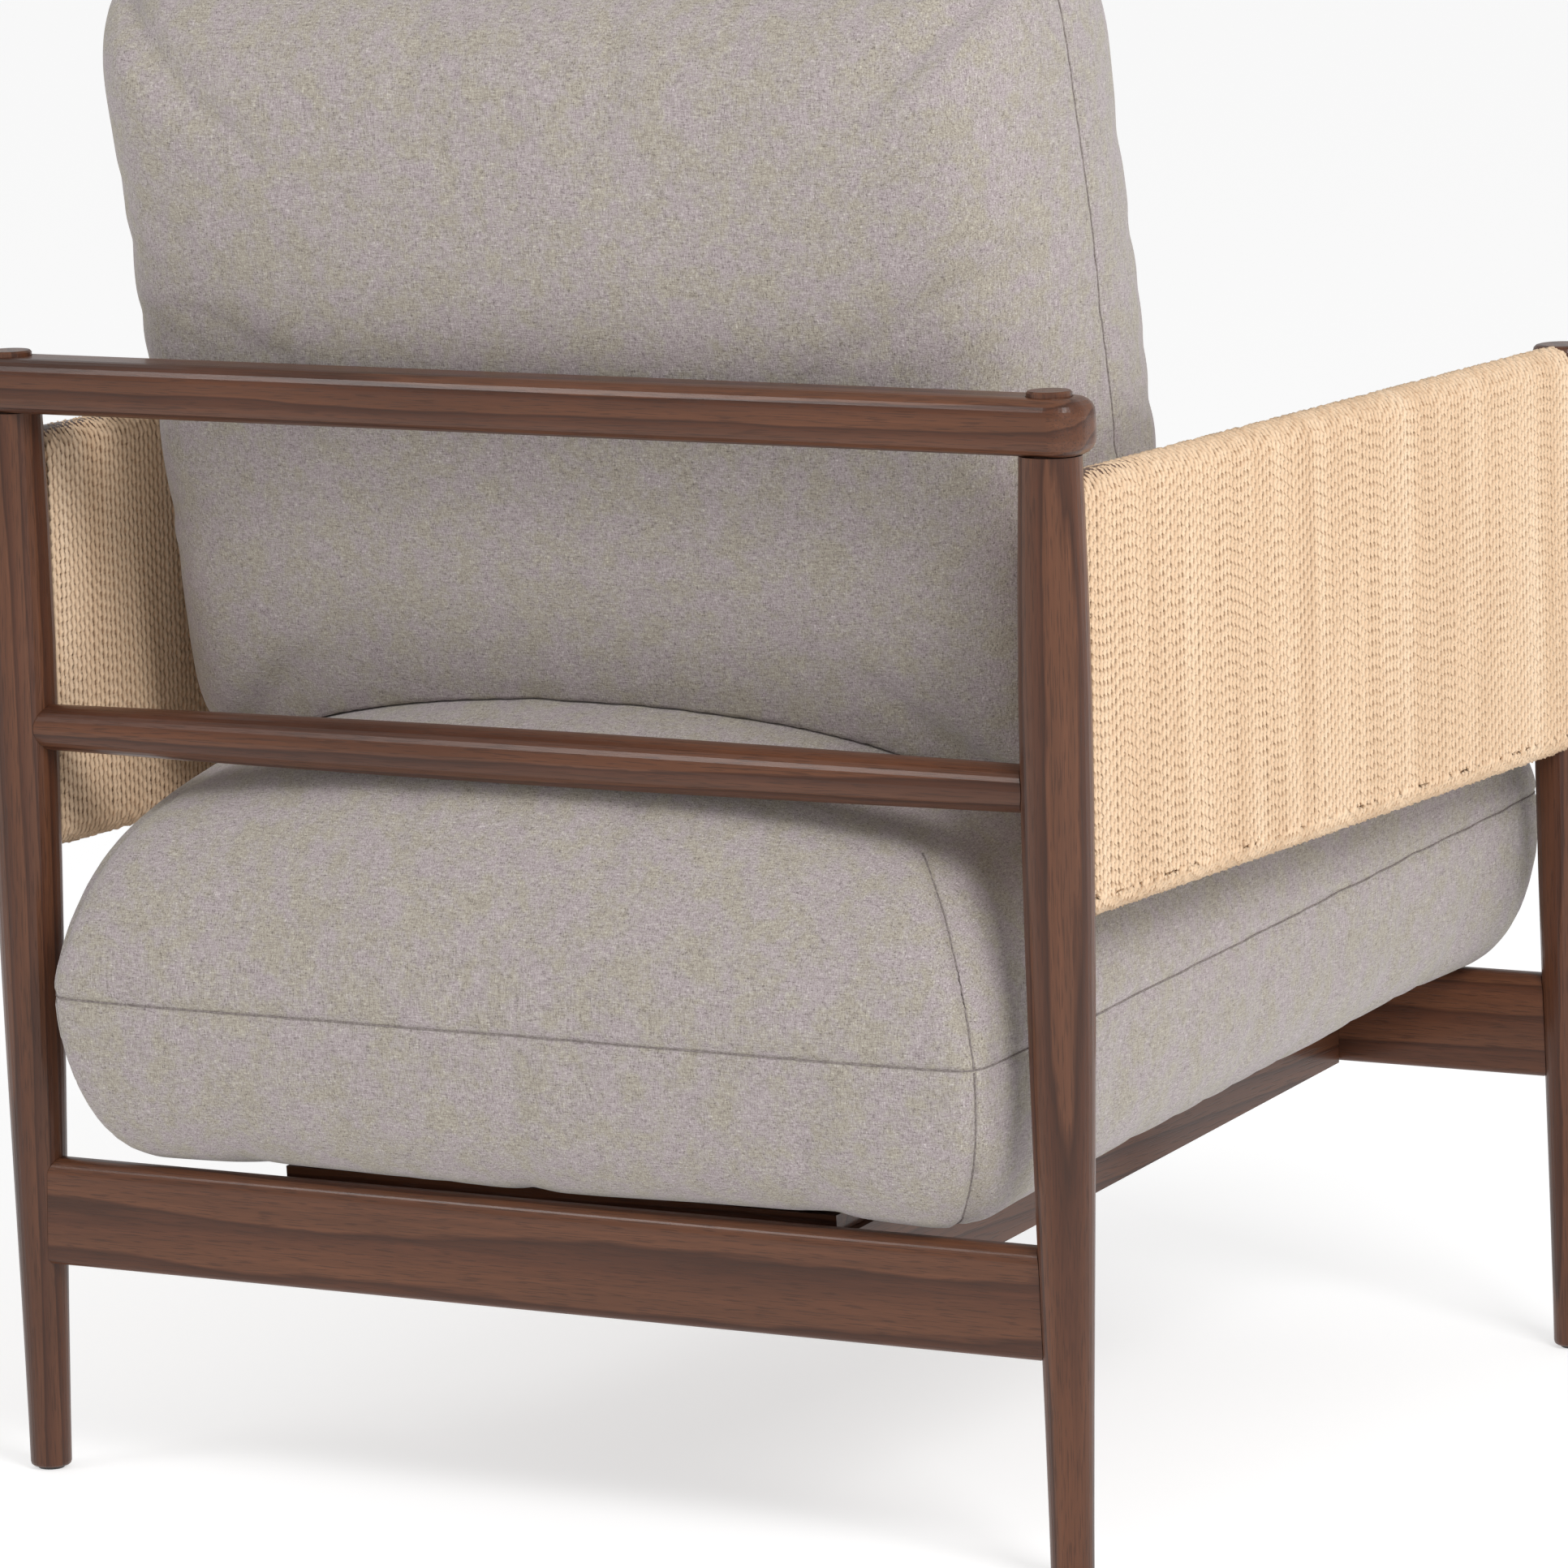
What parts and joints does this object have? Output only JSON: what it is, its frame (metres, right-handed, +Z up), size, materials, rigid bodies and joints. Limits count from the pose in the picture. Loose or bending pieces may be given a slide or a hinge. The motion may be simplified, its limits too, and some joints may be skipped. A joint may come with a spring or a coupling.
{
  "type": "lounge armchair",
  "caption": "Low lounge armchair with a turned wooden frame, a through-tenoned back rail, cord-wrapped arm panels and loose seat and back cushions.",
  "frame": {"origin": "centre of the bounding box in X and Y, on the floor under the foot glides (Z = 0)", "axes": "+Z up; -Y is the way a sitter faces, so +Y is the back; +X is the sitter's left-hand side"},
  "size_m": [0.686, 0.6884, 0.8482],
  "materials": {
    "walnut": "satin oiled",
    "paper_cord": "matt twisted cord",
    "cushion_linen": "heathered plain weave",
    "cushion_foam": "matt",
    "zip_tape": "matt",
    "zinced_steel": "zinc plated",
    "glide_nylon": "matt"
  },
  "bodies": {
    "frame": {"arm_bottom_dowel_left": "walnut", "arm_bottom_dowel_right": "walnut", "arm_cord_wrap_left": "paper_cord", "arm_cord_wrap_right": "paper_cord", "arm_top_dowel_left": "walnut", "arm_top_dowel_right": "walnut", "back_rod": "walnut", "back_top_rail": "walnut", "foot_glide_front_left": "glide_nylon", "foot_glide_front_right": "glide_nylon", "foot_glide_rear_left": "glide_nylon", "foot_glide_rear_right": "glide_nylon", "front_leg_left": "walnut", "front_leg_right": "walnut", "front_seat_rail": "walnut", "rear_leg_left": "walnut", "rear_leg_right": "walnut", "rear_seat_rail": "walnut", "seat_slat_1": "walnut", "seat_slat_2": "walnut", "seat_slat_3": "walnut", "seat_slat_4": "walnut", "seat_slat_5": "walnut", "seat_slat_6": "walnut", "side_stretcher_left": "walnut", "side_stretcher_right": "walnut", "slat_screw_1_left": "zinced_steel", "slat_screw_1_right": "zinced_steel", "slat_screw_2_left": "zinced_steel", "slat_screw_2_right": "zinced_steel", "slat_screw_3_left": "zinced_steel", "slat_screw_3_right": "zinced_steel", "slat_screw_4_left": "zinced_steel", "slat_screw_4_right": "zinced_steel", "slat_screw_5_left": "zinced_steel", "slat_screw_5_right": "zinced_steel", "slat_screw_6_left": "zinced_steel", "slat_screw_6_right": "zinced_steel"},
    "seat_cushion": {"seat_cushion_core": "cushion_foam", "seat_cushion_cover": "cushion_linen", "seat_cushion_zip": "zip_tape"},
    "back_cushion": {"back_cushion_core": "cushion_foam", "back_cushion_cover": "cushion_linen", "back_cushion_zip": "zip_tape"}
  },
  "joints": [
    {"name": "seat_cushion_out", "type": "slide", "parent": "frame", "child": "seat_cushion", "axis": [0, -0.9945, 0.1045], "range_m": [0, 0.7]},
    {"name": "back_cushion_lift", "type": "slide", "parent": "seat_cushion", "child": "back_cushion", "axis": [0, 0, 1], "range_m": [0, 0.3]}
  ]
}
